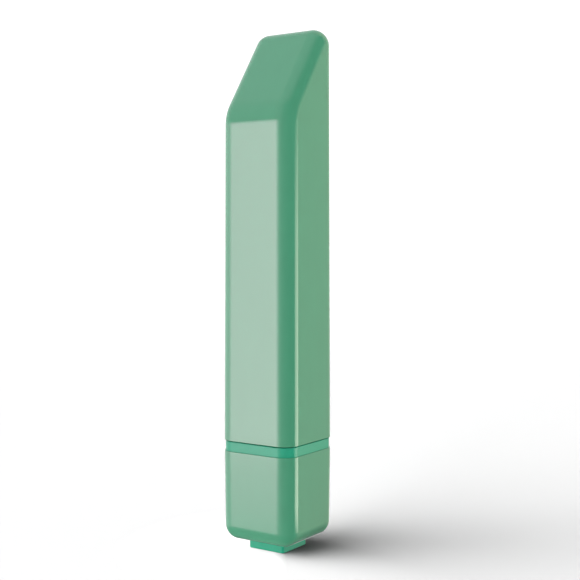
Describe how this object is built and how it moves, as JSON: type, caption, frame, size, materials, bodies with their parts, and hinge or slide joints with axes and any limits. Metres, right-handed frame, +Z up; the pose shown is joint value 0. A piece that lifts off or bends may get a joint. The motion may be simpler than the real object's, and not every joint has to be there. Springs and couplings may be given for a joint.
{
  "type": "handheld massager",
  "caption": "Slim square hand-held massager with a slanted closed tip, a sealed pull-off base and a push-button foot; a cell drives an eccentric motor inside.",
  "frame": {"origin": "middle of the push-button's underside, on which the object stands", "axes": "+Z up along the body towards the tip, -Y the front that the slanted tip faces, +X to its right"},
  "size_m": [0.0202, 0.0202, 0.123],
  "materials": {
    "mint_plastic": "glossy moulded plastic, soft grey mint",
    "green_plastic": "glossy moulded plastic, brighter green",
    "tray_plastic": "moulded plastic, off-white",
    "bell_plastic": "moulded plastic, ivory",
    "screw_steel": "zinc-plated steel",
    "contact_brass": "spring brass strip",
    "bush_bronze": "sintered bronze",
    "red_wire": "wire sheath",
    "black_wire": "wire sheath",
    "soft_rubber": "soft moulded rubber",
    "motor_steel": "plated sheet steel",
    "shaft_steel": "ground steel",
    "magnet_ferrite": "pressed ferrite",
    "core_steel": "stacked sheet steel",
    "copper": "copper",
    "weight_metal": "sintered heavy metal",
    "cell_metal": "plated can",
    "cap_metal": "plated steel",
    "cell_jacket": "plain shrink film",
    "cell_insulator": "card washer",
    "spring_steel": "plated spring wire",
    "board_green": "lacquered circuit board",
    "chip_black": "moulded black plastic",
    "passive_tan": "fired ceramic",
    "plunger_plastic": "moulded plastic"
  },
  "bodies": {
    "body": {"body_shell": "mint_plastic", "chassis_front": "tray_plastic", "chassis_rear": "tray_plastic", "chassis_screws": "screw_steel", "positive_contact": "contact_brass", "return_strip": "contact_brass", "positive_lead": "red_wire", "return_lead": "black_wire", "motor_sleeve": "soft_rubber", "motor_can": "motor_steel", "motor_magnets": "magnet_ferrite", "motor_front_bush": "bush_bronze", "motor_rear_bush": "bush_bronze", "motor_end_bell": "bell_plastic", "motor_brushes": "copper"},
    "rotor": {"motor_shaft": "shaft_steel", "eccentric_weight": "weight_metal", "armature_core": "core_steel", "armature_windings": "copper", "commutator": "copper"},
    "cell": {"cell_can": "cell_metal", "cell_jacket": "cell_jacket", "cell_insulator": "cell_insulator", "cell_positive_cap": "cap_metal"},
    "base": {"base_cup": "mint_plastic", "base_core": "green_plastic", "seal_ring": "soft_rubber", "contact_finger_front": "contact_brass", "contact_finger_rear": "contact_brass", "battery_spring": "spring_steel", "switch_board": "board_green", "board_screws": "screw_steel", "controller_chip": "chip_black", "board_passives": "passive_tan", "switch_body": "chip_black", "switch_cover": "motor_steel", "button_guide": "tray_plastic", "guide_screws": "screw_steel"},
    "button": {"push_button": "green_plastic", "button_o_ring": "soft_rubber", "switch_plunger": "plunger_plastic"}
  },
  "joints": [
    {"name": "body_pull", "type": "slide", "parent": "base", "child": "body", "axis": [0, 0, 1], "range_m": [0, 0.08]},
    {"name": "cell_lift", "type": "slide", "parent": "base", "child": "cell", "axis": [0, 0, 1], "range_m": [0, 0.02]},
    {"name": "button_press", "type": "slide", "parent": "base", "child": "button", "axis": [0, 0, 1], "range_m": [0, 0.0005], "stiffness_N_per_m": 4000, "springref_m": -0.0004},
    {"name": "motor_spin", "type": "hinge", "parent": "body", "child": "rotor", "pos_m": [0, 0, 0.09], "axis": [0, 0, 1], "continuous": true}
  ],
  "couplings": [
    {"joint": "cell_lift", "follows": "body_pull", "ratio": 0.25}
  ]
}
